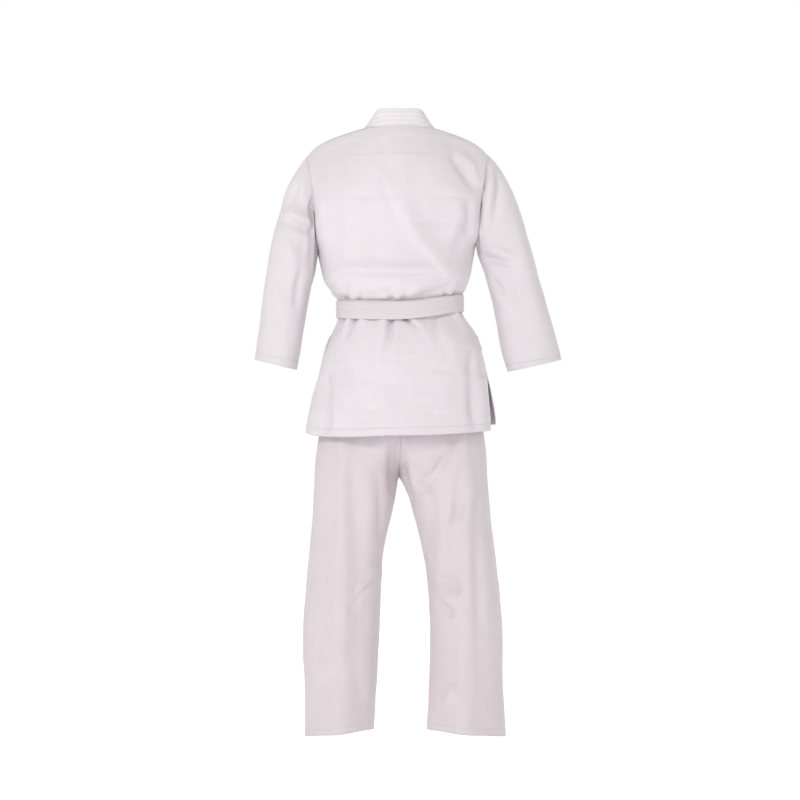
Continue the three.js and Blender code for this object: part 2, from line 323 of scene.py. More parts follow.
# Adds a grid of cells bent onto point(u, v). part numbers the piece that the cells belong to at the end.
def addGrid(bm, columns, rows, part, point, size=(1, 1), cutPoint=None, pin=None):
    uvLayer = bm.loops.layers.uv.verify()
    cutLayer = bm.verts.layers.float_vector.get("cut") or bm.verts.layers.float_vector.new("cut")
    pinLayer = bm.verts.layers.float.get("pin") or bm.verts.layers.float.new("pin")
    verts = bmesh.ops.create_grid(bm, x_segments=columns, y_segments=rows, size=0.5)["verts"]
    spots = {vert: (vert.co.x + 0.5, vert.co.y + 0.5) for vert in verts}
    for face in {face for vert in verts for face in vert.link_faces}:
        face.material_index = part
        face.smooth = True
        for loop in face.loops:
            u, v = spots[loop.vert]
            loop[uvLayer].uv = (u * size[0], v * size[1])
    for vert, (u, v) in spots.items():
        vert.co = point(u, v)
        vert[cutLayer] = (cutPoint or point)(u, v)
        vert[pinLayer] = pin(u, v) if pin else 0
    return verts


def baked(piece):  # the piece with its modifiers applied
    graph = bpy.context.evaluated_depsgraph_get()
    mesh = bpy.data.meshes.new_from_object(piece.evaluated_get(graph), depsgraph=graph)
    piece.modifiers.clear()
    if piece.data.shape_keys:
        piece.shape_key_clear()
    piece.data = mesh
    return piece


clothFeel = {
    "frames": 28,
    "steps": 7,
    "mass": 0.35,
    "stretch": 18,
    "shear": 6,
    "bending": 1.5,
    "damping": 8,
    "bendingDamping": 2,
    "airDamping": 3,
    "friction": 12,
    "formGap": 0.003,
    "clothGap": 0.004,
}


def settle(garment, form):  # lets the garment drop onto the form, held where its pins say
    form.modifiers.new("solid", "COLLISION")
    form.collision.thickness_outer = clothFeel["formGap"]
    form.collision.cloth_friction = clothFeel["friction"]
    group = garment.vertex_groups.new(name="held")
    pins = garment.data.attributes["pin"].data
    for i, pin in enumerate(pins):
        group.add([i], pin.value, "REPLACE")
    garment.shape_key_add(name="Basis")
    pattern = garment.shape_key_add(name="cut")
    for i, spot in enumerate(garment.data.attributes["cut"].data):
        pattern.data[i].co = spot.vector
    cloth = garment.modifiers.new("cloth", "CLOTH")
    feel = cloth.settings
    feel.quality = clothFeel["steps"]
    feel.mass = clothFeel["mass"]
    feel.tension_stiffness = clothFeel["stretch"]
    feel.compression_stiffness = clothFeel["stretch"]
    feel.shear_stiffness = clothFeel["shear"]
    feel.bending_stiffness = clothFeel["bending"]
    feel.tension_damping = clothFeel["damping"]
    feel.compression_damping = clothFeel["damping"]
    feel.shear_damping = clothFeel["damping"]
    feel.bending_damping = clothFeel["bendingDamping"]
    feel.air_damping = clothFeel["airDamping"]
    feel.vertex_group_mass = "held"
    feel.pin_stiffness = 1.0
    feel.rest_shape_key = pattern
    cloth.collision_settings.collision_quality = 3
    cloth.collision_settings.distance_min = clothFeel["clothGap"]
    cloth.point_cache.frame_end = clothFeel["frames"]
    for number in range(1, clothFeel["frames"] + 1):
        scene.frame_set(number)
    baked(garment)
    scene.frame_set(1)


# The jacket's body and sleeves are sewn together and settled on a form.
jacketParts = [
    "jacket_back",
    "jacket_left_front",
    "jacket_right_front",
    "jacket_left_sleeve",
    "jacket_right_sleeve",
]
weldGap = 2e-4  # metres: grid edges closer than this are sewn together


def trunkPin(face, across, rise):
    height = ventTop + rise * perRise
    atBelt = abs(height - beltHeight(143 * math.sin(math.radians(across)))) < 17
    if rise > 0.985 or (abs(across) < 26 and rise > 0.955) or atBelt:
        return 1
    return 0


bm = bmesh.new()
rows = jacketSizes["rowsBelowVent"] + jacketSizes["rowsAboveVent"]
addGrid(
    bm,
    60,
    rows,
    0,
    lambda u, v: trunkPoint(1, lerp(90, -90, u), lerp(hemRise, 1, v)),
    jacketSizes["backLaid"],
    lambda u, v: trunkPoint(1, lerp(90, -90, u), lerp(hemRise, 1, v), cut),
    lambda u, v: trunkPin(1, lerp(90, -90, u), lerp(hemRise, 1, v)),
)
for part, side in ((1, 1), (2, -1)):

    def acrossAt(u, v):
        edge = edgeOf(lerp(hemRise, 1, v))[0]
        return lerp(edge, 90, u) if side > 0 else lerp(90, edge, u)

    def frontPin(u, v):
        across, rise = acrossAt(u, v), lerp(hemRise, 1, v)
        if across - edgeOf(rise)[0] < 4 or (side < 0 and across < -edgeOf(rise)[0] - 8 and rise < 0.8):
            return 1
        return trunkPin(-1, across, rise)

    addGrid(
        bm,
        46,
        rows,
        part,
        lambda u, v: frontPoint(side, acrossAt(u, v), lerp(hemRise, 1, v)),
        jacketSizes["frontLaid"],
        lambda u, v: frontPoint(side, acrossAt(u, v), lerp(hemRise, 1, v), cut),
        frontPin,
    )
for part, side in ((3, 1), (4, -1)):
    tip = place(side * 210, 4, jacketSizes["shoulderTip"])
    addGrid(
        bm,
        48,
        50,
        part,
        lambda u, v: sleevePoint(side, u if side > 0 else 1 - u, v),
        jacketSizes["sleeveLaid"],
        lambda u, v: tip + (sleevePoint(side, u if side > 0 else 1 - u, v) - tip) * 1.03,
    )
bmesh.ops.remove_doubles(bm, verts=bm.verts, dist=weldGap)
jacket = newObject("jacket", bm)

bm = bmesh.new()
addGrid(bm, 40, 50, 0, lambda u, v: trunkPoint(1, lerp(90, -90, u), lerp(-0.36, 1, v), worn, 9))
addGrid(bm, 40, 50, 0, lambda u, v: trunkPoint(-1, lerp(-90, 90, u), lerp(-0.36, 1, v), worn, 5))
for side in (1, -1):
    addGrid(
        bm,
        24,
        30,
        0,
        lambda u, v: sleevePoint(side, u if side > 0 else 1 - u, lerp(0.02, 0.94, v), 0.82),
    )
bmesh.ops.remove_doubles(bm, verts=bm.verts, dist=weldGap)
form = newObject("form", bm)
settle(jacket, form)
bpy.data.objects.remove(form)
print("jacket settled", len(jacket.data.vertices))

# The trousers settle in the same way.
bm = bmesh.new()
for part, side in ((0, 1), (1, -1)):
    addGrid(
        bm,
        56,
        78,
        part,
        lambda u, v: trouserPoint(side, u if side > 0 else 1 - u, v),
        trouserSizes["laid"],
        lambda u, v: trouserPoint(side, u if side > 0 else 1 - u, v, 1.02),
        lambda u, v: 1 if v > 0.93 else 0,
    )
bmesh.ops.remove_doubles(bm, verts=bm.verts, dist=weldGap)
trousers = newObject("trousers", bm)

bm = bmesh.new()
for side in (1, -1):
    addGrid(
        bm,
        32,
        50,
        0,
        lambda u, v: trouserPoint(side, u if side > 0 else 1 - u, lerp(0.02, 1, v), 1, 14),
    )
form = newObject("form", bm)
settle(trousers, form)
bpy.data.objects.remove(form)
print("trousers settled", len(trousers.data.vertices))

# A fold is (shape, height, width, points) in mm, with points (x, height above the soles) along its crest.
# "ridge" and "dent" are even on both sides; "drape" is steep on the left of its direction and slow on the
# right; "gather" starts strong and fades along its length.
backFolds = [
    ("drape", 12, 17, (34, 1409), (14, 1351), (-13, 1297), (-40, 1250), (-75, 1212), (-117, 1166)),
    ("dent", 6, 20, (30, 1490), (28, 1430), (24, 1380), (2, 1320), (-24, 1262)),
    ("ridge", 5, 16, (144, 1450), (167, 1420), (176, 1358), (178, 1289), (176, 1235)),
    ("dent", 6, 18, (150, 1420), (148, 1335), (147, 1258), (150, 1215)),
    ("ridge", 3, 15, (120, 1400), (122, 1330), (118, 1250)),
    ("dent", 2, 5, (121, 1449), (122, 1410), (121, 1372)),
    ("ridge", 4, 12, (-196, 1330), (-188, 1280), (-176, 1240)),
    ("dent", 5, 10, (-152, 1350), (-158, 1300), (-154, 1255)),
    ("dent", 5, 16, (70, 1222), (60, 1204)),
    ("ridge", 9, 11, (166, 1176), (120, 1188), (64, 1186), (-20, 1184), (-112, 1186), (-150, 1192)),
    ("dent", 9, 8, (158, 1156), (110, 1167), (64, 1165), (-20, 1165), (-112, 1168)),
    ("dent", 6, 16, (-150, 1300), (-148, 1270), (-122, 1216)),
    ("dent", 10, 11, (-112, 1452), (-148, 1405), (-172, 1362)),
    ("ridge", 5, 10, (-132, 1456), (-166, 1422), (-176, 1380)),
    ("ridge", 4, 16, (-120, 1380), (-132, 1310), (-112, 1240)),
    ("dent", 3, 10, (37, 1517), (7, 1498), (-17, 1492), (-55, 1509)),
    ("dent", 2.2, 6, (150, 1353), (60, 1349), (-40, 1351)),
    ("dent", 2.2, 6, (-60, 1352), (-155, 1348)),
    ("dent", 3.4, 5, (-24, 1291), (-148, 1287)),
    ("dent", 3.4, 6, (160, 1262), (60, 1248)),
    ("ridge", 1.6, 9, (130, 1305), (40, 1296)),
    ("gather", -4.8, 6, (121, 1116), (122, 1140), (127, 1160)),
    ("gather", 1.6, 9, (106, 1116), (98, 1142), (84, 1166)),
    ("gather", -3.8, 6, (92, 1116), (88, 1132), (80, 1146)),
    ("gather", -4.8, 6, (20, 1116), (22, 1136), (20, 1152)),
    ("gather", 1.6, 8, (6, 1116), (4, 1136), (4, 1152)),
    ("gather", -3.8, 7, (-8, 1116), (-14, 1130), (-40, 1146)),
    ("gather", 1.6, 8, (-30, 1118), (-66, 1138), (-104, 1160)),
    ("gather", -4.8, 5, (-104, 1122), (-102, 1138), (-98, 1152)),
    ("gather", 1.8, 6, (-112, 1126), (-118, 1142), (-130, 1160)),
    ("gather", -4, 5, (-122, 1128), (-130, 1142), (-140, 1160)),
    ("gather", -12, 5, (103, 1076), (112, 1055), (124, 1030)),
    ("gather", 7, 8, (114, 1074), (124, 1052), (138, 1026)),
    ("gather", -12, 5, (131, 1076), (140, 1056), (150, 1038)),
    ("gather", 6, 10, (84, 1074), (88, 1040), (96, 1000)),
    ("gather", -14, 6, (20, 1074), (23, 1030), (43, 986)),
    ("gather", 6, 11, (36, 1074), (42, 1040), (62, 990)),
    ("gather", -12, 5, (-9, 1078), (-36, 1058), (-52, 1046)),
    ("gather", 5, 9, (-24, 1076), (-52, 1050), (-70, 1020)),
    ("gather", -4, 12, (-80, 1080), (-84, 1040), (-88, 1000)),
    ("gather", -12, 5, (-137, 1096), (-152, 1075), (-162, 1056)),
    ("gather", 6, 9, (-124, 1092), (-142, 1064), (-158, 1030)),
    ("dent", 6, 12, (150, 1014), (140, 992), (123, 957), (109, 926)),
    ("dent", 11, 12, (168, 968), (171, 930), (169, 864), (176, 790)),
    ("drape", 5, 9, (170, 940), (140, 914), (108, 892)),
    ("dent", 4, 8, (170, 930), (146, 890), (128, 860)),
    ("ridge", 4, 8, (166, 912), (150, 868), (140, 830)),
    ("dent", 2, 8, (109, 942), (34, 928), (-82, 925)),
    ("dent", 2.4, 8, (-60, 957), (-110, 955), (-158, 951)),
    ("dent", 6, 12, (-160, 1010), (-164, 980), (-158, 948)),
    ("ridge", 6, 13, (-188, 990), (-190, 920), (-196, 824)),
    ("dent", 10, 12, (-162, 975), (-165, 880), (-172, 800)),
    ("ridge", 2, 10, (13, 824), (-20, 850), (-48, 876)),
    ("ridge", 2, 10, (60, 806), (92, 850), (108, 880)),
    ("dent", 2, 12, (-90, 900), (-70, 850), (-60, 806)),
    ("ridge", 3, 22, (40, 900), (20, 860), (14, 806)),
    ("dent", 2.4, 6, (150, 960), (110, 958), (84, 952)),
    ("ridge", 5, 8, (-10, 1124), (-40, 1144), (-112, 1160)),
    ("dent", 5, 7, (-20, 1118), (-60, 1132), (-104, 1142)),
    ("ridge", 4, 8, (112, 1130), (80, 1140), (30, 1146)),
    ("dent", 4, 7, (100, 1152), (60, 1156), (24, 1152)),
    ("dent", 2, 6, (96, 880), (60, 868), (20, 872)),
    ("ridge", 2, 7, (-20, 900), (-70, 896), (-120, 905)),
    ("dent", 2, 7, (-30, 862), (-90, 858), (-140, 868)),
    ("dent", 2, 6, (60, 986), (10, 980), (-50, 984)),
    ("dent", 4, 16, (70, 1050), (64, 1010), (70, 960)),
    ("ridge", 3, 14, (-100, 1060), (-120, 1010), (-124, 950)),
]
frontFolds = [
    ("drape", 7, 16, (150, 1430), (110, 1370), (60, 1290), (0, 1200), (-40, 1150)),
    ("dent", 5, 16, (165, 1400), (150, 1320), (130, 1240)),
    ("ridge", 5, 14, (150, 1300), (120, 1220), (92, 1150)),
    ("dent", 5, 14, (-150, 1410), (-140, 1330), (-150, 1250)),
    ("ridge", 4, 16, (-120, 1400), (-112, 1320), (-120, 1240)),
    ("dent", 6, 12, (150, 1170), (60, 1178), (-60, 1174)),
    ("gather", -5.6, 9, (110, 1116), (104, 1142), (96, 1170)),
    ("gather", 3.6, 10, (84, 1116), (72, 1144), (56, 1176)),
    ("gather", -5.6, 9, (52, 1116), (40, 1144), (22, 1172)),
    ("gather", 3.6, 10, (-10, 1116), (-12, 1140), (-18, 1170)),
    ("gather", -5, 8, (-112, 1122), (-118, 1148), (-126, 1172)),
    ("gather", -9, 9, (100, 1076), (112, 1046), (128, 1006)),
    ("gather", 7, 11, (72, 1076), (82, 1036), (96, 980)),
    ("gather", -8, 9, (44, 1074), (52, 1036), (60, 990)),
    ("gather", 6, 12, (-30, 1074), (-34, 1026), (-40, 960)),
    ("gather", -7, 8, (-122, 1086), (-140, 1056), (-154, 1020)),
    ("dent", 5, 14, (140, 980), (146, 900), (152, 812)),
    ("ridge", 4, 18, (90, 940), (96, 880), (100, 812)),
    ("dent", 4, 14, (30, 930), (24, 870), (20, 812)),
]
sleeveFolds = [  # back and front alike
    ("dent", 8, 10, (202, 1366), (199, 1320), (194, 1272)),
    ("dent", 9, 8, (-172, 1408), (-178, 1380), (-183, 1350)),
    ("drape", 6, 12, (236, 1452), (250, 1400), (270, 1326)),
    ("dent", 7, 8, (219, 1452), (230, 1397), (258, 1322)),
    ("drape", 10, 17, (192, 1290), (228, 1306), (266, 1326)),
    ("dent", 13, 10, (188, 1268), (226, 1283), (268, 1302)),
    ("ridge", 6, 12, (270, 1297), (261, 1250), (231, 1204)),
    ("dent", 8, 12, (252, 1374), (232, 1344), (207, 1318)),
    ("ridge", 4, 14, (244, 1240), (240, 1180), (252, 1110)),
    ("dent", 7, 10, (222, 1196), (236, 1150), (240, 1090)),
    ("ridge", 4, 12, (296, 1180), (280, 1130), (262, 1100)),
    ("dent", 3, 12, (300, 1120), (286, 1060), (290, 1010)),
    ("dent", 13, 9, (-184, 1214), (-220, 1208), (-258, 1198)),
    ("ridge", 7, 12, (-186, 1236), (-222, 1228), (-268, 1212)),
    ("dent", 7, 8, (-208, 1168), (-224, 1152), (-240, 1132)),
    ("ridge", 5, 10, (-206, 1148), (-226, 1124), (-246, 1100)),
    ("ridge", 9, 11, (-212, 1440), (-206, 1370), (-196, 1300), (-192, 1250)),
    ("dent", 9, 8, (-222, 1432), (-224, 1370), (-214, 1290)),
    ("ridge", 4, 18, (-262, 1330), (-280, 1240), (-304, 1150), (-326, 1050)),
    ("dent", 3, 16, (-240, 1260), (-262, 1170), (-284, 1080), (-300, 1000)),
]
trouserFolds = [  # the backs of the legs
    ("drape", 11.2, 12, (44, 500), (86, 462), (114, 416)),
    ("dent", 9.8, 9, (50, 486), (92, 446), (118, 402)),
    ("dent", 5.6, 22, (96, 366), (144, 266), (170, 200)),
    ("ridge", 5.6, 16, (84, 350), (78, 270), (72, 190)),
    ("ridge", 4.2, 20, (160, 800), (163, 700), (168, 590)),
    ("dent", 4.2, 24, (192, 640), (190, 500), (196, 380)),
    ("dent", 14, 11, (14, 830), (14, 750), (16, 670)),
    ("dent", 8.4, 7, (-6, 740), (-16, 690), (-30, 645)),
    ("ridge", 5.6, 7, (-18, 815), (-22, 740), (-38, 660)),
    ("ridge", 4.2, 16, (60, 790), (56, 700), (62, 610)),
    ("dent", 3.36, 18, (112, 760), (116, 660), (108, 560)),
    ("ridge", 8.4, 10, (-125, 790), (-86, 737), (-54, 698)),
    ("dent", 9.8, 9, (-46, 687), (-62, 684), (-74, 682)),
    ("dent", 5.6, 10, (-100, 780), (-74, 740), (-50, 716)),
    ("ridge", 7, 11, (-134, 790), (-118, 690), (-113, 629), (-97, 575)),
    ("dent", 8.4, 13, (-158, 690), (-142, 648), (-118, 606)),
    ("ridge", 5.6, 14, (-166, 760), (-164, 680), (-150, 600)),
    ("dent", 11.2, 14, (-90, 486), (-116, 468), (-136, 450)),
    ("dent", 11.2, 10, (-84, 430), (-104, 412), (-120, 394)),
    ("ridge", 7, 12, (-80, 462), (-104, 440), (-126, 424)),
    ("ridge", 5.6, 18, (-190, 600), (-196, 480), (-204, 360)),
    ("dent", 4.2, 18, (-150, 380), (-160, 280), (-150, 190)),
    ("ridge", 5.6, 9, (-124, 240), (-112, 210), (-104, 190)),
    ("ridge", 5.6, 9, (-124, 240), (-136, 214), (-144, 200)),
]
legFronts = [
    ("drape", 7, 14, (50, 520), (90, 480), (150, 470)),
    ("dent", 6, 12, (60, 440), (110, 420), (160, 430)),
    ("ridge", 5, 16, (110, 760), (118, 640), (112, 520)),
    ("dent", 4, 16, (120, 400), (124, 300), (116, 200)),
    ("drape", 7, 14, (-60, 530), (-110, 500), (-160, 500)),
    ("dent", 6, 12, (-70, 450), (-120, 430), (-170, 440)),
    ("ridge", 5, 16, (-120, 760), (-122, 640), (-130, 520)),
    ("dent", 4, 16, (-140, 400), (-150, 300), (-144, 200)),
]


def foldHeights(spots, fold):
    shape, height, width, *line = fold
    line = np.array(line, float)
    lengths = np.linalg.norm(np.diff(line, axis=0), axis=1)
    nearest = np.full(len(spots), np.inf)
    offset = np.zeros(len(spots))
    along = np.zeros(len(spots))
    done = 0.0
    for start, end, length in zip(line[:-1], line[1:], lengths):
        way = (end - start) / length
        rel = spots - start
        reach = np.clip(rel @ way, 0, length)
        gap = rel - reach[:, None] * way
        distance = np.linalg.norm(gap, axis=1)
        closer = distance < nearest
        nearest = np.where(closer, distance, nearest)
        offset = np.where(closer, np.sign(way[0] * gap[:, 1] - way[1] * gap[:, 0]) * distance, offset)
        along = np.where(closer, (done + reach) / lengths.sum(), along)
        done += length
    if shape == "gather":
        return height * np.exp(-((nearest / width) ** 2)) * (1 - along) ** 0.7
    fade = np.clip(4 * along * (1 - along), 0, 1) ** 0.85
    if shape == "drape":
        steep = np.where(offset > 0, 0.55, 1.7) * width
        return height * fade * np.exp(-((nearest / steep) ** 2))
    return (height if shape == "ridge" else -height) * fade * np.exp(-((nearest / width) ** 2))


# Moves the cloth out and in along its normals: by its folds, and by a slow uneven roll.
def crumple(garment, choose, roll):
    mesh = garment.data
    count = len(mesh.vertices)
    spots = np.empty(count * 3)
    mesh.vertices.foreach_get("co", spots)
    spots = spots.reshape(-1, 3)
    normals = np.empty(count * 3)
    mesh.vertex_normals.foreach_get("vector", normals)
    normals = normals.reshape(-1, 3)
    flat = np.column_stack((spots[:, 0] * 1000, spots[:, 2] * 1000 + napeHeight))
    shift = np.zeros(count)
    for folds, chosen in choose(flat, normals):
        for fold in folds:
            shift += foldHeights(flat, fold) * chosen
    for i, spot in enumerate(spots):
        at = Vector(spot)
        shift[i] += roll * noise.noise(Vector((at.x * 9, at.y * 9, at.z * 5)))
        shift[i] += roll * 0.35 * noise.noise(Vector((at.x * 30, at.y * 30, at.z * 22)))
    held = np.empty(count)
    mesh.attributes["pin"].data.foreach_get("value", held)
    shift *= 1 - np.clip(held, 0, 1) ** 2
    spots += normals * (shift / 1000)[:, None]
    mesh.vertices.foreach_set("co", spots.ravel())
    mesh.update()


def facing(normals, side):
    return np.clip((normals[:, 1] * side + 0.1) / 0.5, 0, 1)


def jacketFolds(flat, normals):  # the sleeves' folds stay outside the armhole seams
    seam = 199 - 0.06 * np.clip(1460 - flat[:, 1], 0, 1000)
    beyond = (abs(flat[:, 0] - 4) > seam) & (flat[:, 1] > 940)
    arm = np.where(beyond, 1.0, 0.0) * np.clip((abs(flat[:, 0]) - 168) / 16, 0, 1)
    trunk = 1 - arm
    yield backFolds, trunk * facing(normals, 1)
    yield frontFolds, trunk * facing(normals, -1)
    yield sleeveFolds, arm * np.clip(abs(normals[:, 1]) / 0.75, 0, 1) ** 1.5


def legFolds(flat, normals):
    yield trouserFolds, facing(normals, 1)
    yield legFronts, facing(normals, -1)


def refine(garment):
    fine = garment.modifiers.new("fine", "SUBSURF")
    fine.levels = fine.render_levels = 1
    fine.boundary_smooth = "PRESERVE_CORNERS"
    return baked(garment)


def split(garment, names, thickness, finishes):
    pieces = {}
    for number, name in enumerate(names):
        bm = bmesh.new()
        bm.from_mesh(garment.data)
        other = [face for face in bm.faces if face.material_index != number]
        bmesh.ops.delete(bm, geom=other, context="FACES")
        for face in bm.faces:
            face.material_index = 0
            face.smooth = True
        pieces[name] = thickened(newObject(name, bm), thickness, finishes[number])
    bpy.data.objects.remove(garment)
    return pieces


def thickened(piece, thickness, finish, offset=-1):
    piece.data.materials.append(finish)
    solid = piece.modifiers.new("cloth", "SOLIDIFY")
    solid.thickness = thickness
    solid.offset = offset
    return baked(piece)


def worked(tree, operation, *values):
    node = tree.nodes.new("ShaderNodeMath")
    node.operation = operation
    for socket, value in zip(node.inputs, values):
        if isinstance(value, bpy.types.NodeSocket):
            tree.links.new(value, socket)
        else:
            socket.default_value = value
    return node.outputs[0]


def falloff(tree, distance, reach):
    node = tree.nodes.new("ShaderNodeMapRange")
    node.interpolation_type = "SMOOTHSTEP"
    tree.links.new(distance, node.inputs["Value"])
    node.inputs["From Max"].default_value = reach
    node.inputs["To Min"].default_value = 1
    node.inputs["To Max"].default_value = 0
    return node.outputs["Result"]


stitching = {"perMetre": 285, "threadShare": 0.64, "threadWidth": 0.0007, "grooveWidth": 0.0022}


# A stitch row is (axis, place, from, to): u and v are the cloth's own metres and z is the height, with the
# range along the other axis. Gives how deep the row presses in (also where painted shade darkens it) and
# where its thread shows.
def stitchRows(tree, axes, rows):
    groove, thread = None, None
    for axis, at, low, high in rows:
        other = axes[{"u": "v", "v": "u", "z": "x"}[axis]]
        distance = worked(tree, "ABSOLUTE", worked(tree, "SUBTRACT", axes[axis], at))
        within = worked(
            tree, "MULTIPLY", worked(tree, "GREATER_THAN", other, low), worked(tree, "LESS_THAN", other, high)
        )
        pressed = worked(tree, "MULTIPLY", falloff(tree, distance, stitching["grooveWidth"]), within)
        count = worked(tree, "MULTIPLY", other, stitching["perMetre"])
        dash = worked(tree, "LESS_THAN", worked(tree, "FRACT", count), stitching["threadShare"])
        line = falloff(tree, distance, stitching["threadWidth"])
        shown = worked(tree, "MULTIPLY", line, worked(tree, "MULTIPLY", dash, within))
        groove = worked(tree, "MAXIMUM", groove, pressed) if groove else pressed
        thread = worked(tree, "MAXIMUM", thread, shown) if thread else shown
    return groove, thread


cottonLook = {
    "Roughness": 0.9,
    "Sheen Weight": 0.15,
    "Sheen Roughness": 0.5,
    "Specular IOR Level": 0.15,
}
threadColour = (0.84, 0.82, 0.82, 1)
# the colour of the painted shade along stitch grooves
grooveShadeColour = (0.72, 0.67, 0.69, 1)


# grain is the width of a thread in metres, depth the strength of the weave and rows its rows of stitches; the
# last number sets how strongly painted shade darkens the colour along the stitch grooves.
def cotton(name, colour, grain, depth, rows, grooveShading=0.34):
    made = bpy.data.materials.new(name)
    made.use_nodes = True
    tree = made.node_tree
    nodes, links = tree.nodes, tree.links
    shader = nodes["Principled BSDF"]
    for key, value in cottonLook.items():
        shader.inputs[key].default_value = value
    laid = nodes.new("ShaderNodeUVMap").outputs["UV"]
    spot = nodes.new("ShaderNodeTexCoord").outputs["Object"]
    flat = nodes.new("ShaderNodeSeparateXYZ")
    solid = nodes.new("ShaderNodeSeparateXYZ")
    links.new(laid, flat.inputs[0])
    links.new(spot, solid.inputs[0])
    axes = {
        "u": flat.outputs["X"],
        "v": flat.outputs["Y"],
        "x": solid.outputs["X"],
        "z": solid.outputs["Z"],
    }

    weave = nodes.new("ShaderNodeTexBrick")
    weave.offset = 0.5
    for key, value in (
        ("Scale", 1),
        ("Brick Width", grain * 2),
        ("Row Height", grain),
        ("Mortar Size", grain * 0.3),
        ("Mortar Smooth", 1),
        ("Color1", (1, 1, 1, 1)),
        ("Color2", (0.86, 0.86, 0.86, 1)),
        ("Mortar", (0.5, 0.5, 0.5, 1)),
    ):
        weave.inputs[key].default_value = value
    links.new(laid, weave.inputs["Vector"])

    def cloud(scale, detail, stretch=None):
        node = nodes.new("ShaderNodeTexNoise")
        node.inputs["Scale"].default_value = scale
        node.inputs["Detail"].default_value = detail
        if stretch:
            turned = nodes.new("ShaderNodeMapping")
            turned.inputs["Scale"].default_value = stretch
            links.new(laid, turned.inputs["Vector"])
            links.new(turned.outputs["Vector"], node.inputs["Vector"])
        else:
            links.new(spot, node.inputs["Vector"])
        return node.outputs["Fac"]

    def mixed(how, factor, first, second):
        node = nodes.new("ShaderNodeMix")
        node.data_type = "RGBA"
        node.blend_type = how
        for key, value in (("Factor", factor), ("A", first), ("B", second)):
            socket = node.inputs[key]
            if isinstance(value, bpy.types.NodeSocket):
                links.new(value, socket)
            else:
                socket.default_value = value
        return node.outputs["Result"]

    def bumped(strength, reach, height, under=None):
        node = nodes.new("ShaderNodeBump")
        node.inputs["Strength"].default_value = strength
        node.inputs["Distance"].default_value = reach
        links.new(height, node.inputs["Height"])
        if under:
            links.new(under, node.inputs["Normal"])
        return node.outputs["Normal"]

    # the cloth's tone varies at random between slightly darker and slightly lighter than its colour
    darkerMottle = (*[c * 0.96 for c in colour], 1)
    lighterMottle = (*[min(c * 1.025, 1) for c in colour], 1)
    shade = mixed("MIX", cloud(12, 4), darkerMottle, lighterMottle)
    threads = cloud(1, 3, (30, 420, 1))
    shade = mixed("MULTIPLY", worked(tree, "MULTIPLY", threads, 0.14), shade, (0.6, 0.6, 0.6, 1))
    shade = mixed("MULTIPLY", 0.1, shade, weave.outputs["Color"])
    groove, thread = stitchRows(tree, axes, rows)
    # painted shade: the colour is darkened along the pressed stitch grooves, where shadow would fall
    shade = mixed("MULTIPLY", worked(tree, "MULTIPLY", groove, grooveShading), shade, grooveShadeColour)
    shade = mixed("MIX", thread, shade, threadColour)
    links.new(shade, shader.inputs["Base Color"])
    normal = bumped(depth, 0.0012, weave.outputs["Color"])
    normal = bumped(0.3, 0.0016, threads, normal)
    normal = bumped(0.16, 0.005, cloud(70, 5), normal)
    raised = worked(tree, "MULTIPLY", thread, 0.8)
    normal = bumped(0.5, 0.001, worked(tree, "SUBTRACT", raised, groove), normal)
    links.new(normal, shader.inputs["Normal"])
    return made


tints = {
    "jacket": (0.755, 0.705, 0.728),
    "sleeve": (0.74, 0.688, 0.709),
    "trousers": (0.7, 0.628, 0.654),
    "belt": (0.715, 0.655, 0.67),
    "collar": (0.785, 0.745, 0.757),
}
grains = {"jacket": 0.0024, "trousers": 0.0013, "belt": 0.0014, "collar": 0.0018}
beltWidth = 0.04
beltRows = [(i + 0.5) / 7 for i in range(7)]
collarWidth = 0.044
collarRows = (0.08, 0.32, 0.56, 0.8, 0.94)
vent = 0.2156  # where the side seams end, in metres of cloth above the hem
backRows = [
    ("z", -0.074, -0.118, 0.12),
    ("v", 0.02, 0, 0.6),
    ("u", 0.013, 0, vent),
    ("u", 0.587, 0, vent),
    ("u", 0.004, vent, 0.5),
    ("u", 0.596, vent, 0.5),
]
frontRows = [("v", 0.02, 0, 0.45), ("u", 0.004, 0, 0.5), ("u", 0.446, 0, 0.5), ("v", 0.75, 0, 0.45)]
sleeveRows = [("v", 0.02, 0, 0.36), ("v", 0.494, 0, 0.36)]
trouserRows = [("v", 0.018, 0, 0.56), ("u", 0.004, 0, 0.7), ("u", 0.556, 0, 0.7)]
backCloth = cotton("jacket cotton", tints["jacket"], grains["jacket"], 0.6, backRows)
frontCloth = cotton("front cotton", tints["jacket"], grains["jacket"], 0.6, frontRows)
sleeveCloth = cotton("sleeve cotton", tints["sleeve"], grains["jacket"], 0.6, sleeveRows)
trouserCloth = cotton("trouser cotton", tints["trousers"], grains["trousers"], 0.4, trouserRows)
beltStitches = [("v", at * beltWidth, 0, 1) for at in beltRows]
beltCloth = cotton("belt cotton", tints["belt"], grains["belt"], 0.4, beltStitches)
collarStitches = [("v", collarWidth * at, 0, 2) for at in collarRows]
collarCloth = cotton("collar cotton", tints["collar"], grains["collar"], 0.5, collarStitches, 0.2)
patchRows = [("v", 0.003, 0, 1), ("v", 0.027, 0, 1)]
patchCloth = cotton("patch cotton", tints["jacket"], grains["jacket"], 0.6, patchRows)
lightCloth = cotton("light cotton", tints["trousers"], grains["trousers"], 0.4, [("v", 0.003, 0, 1)])

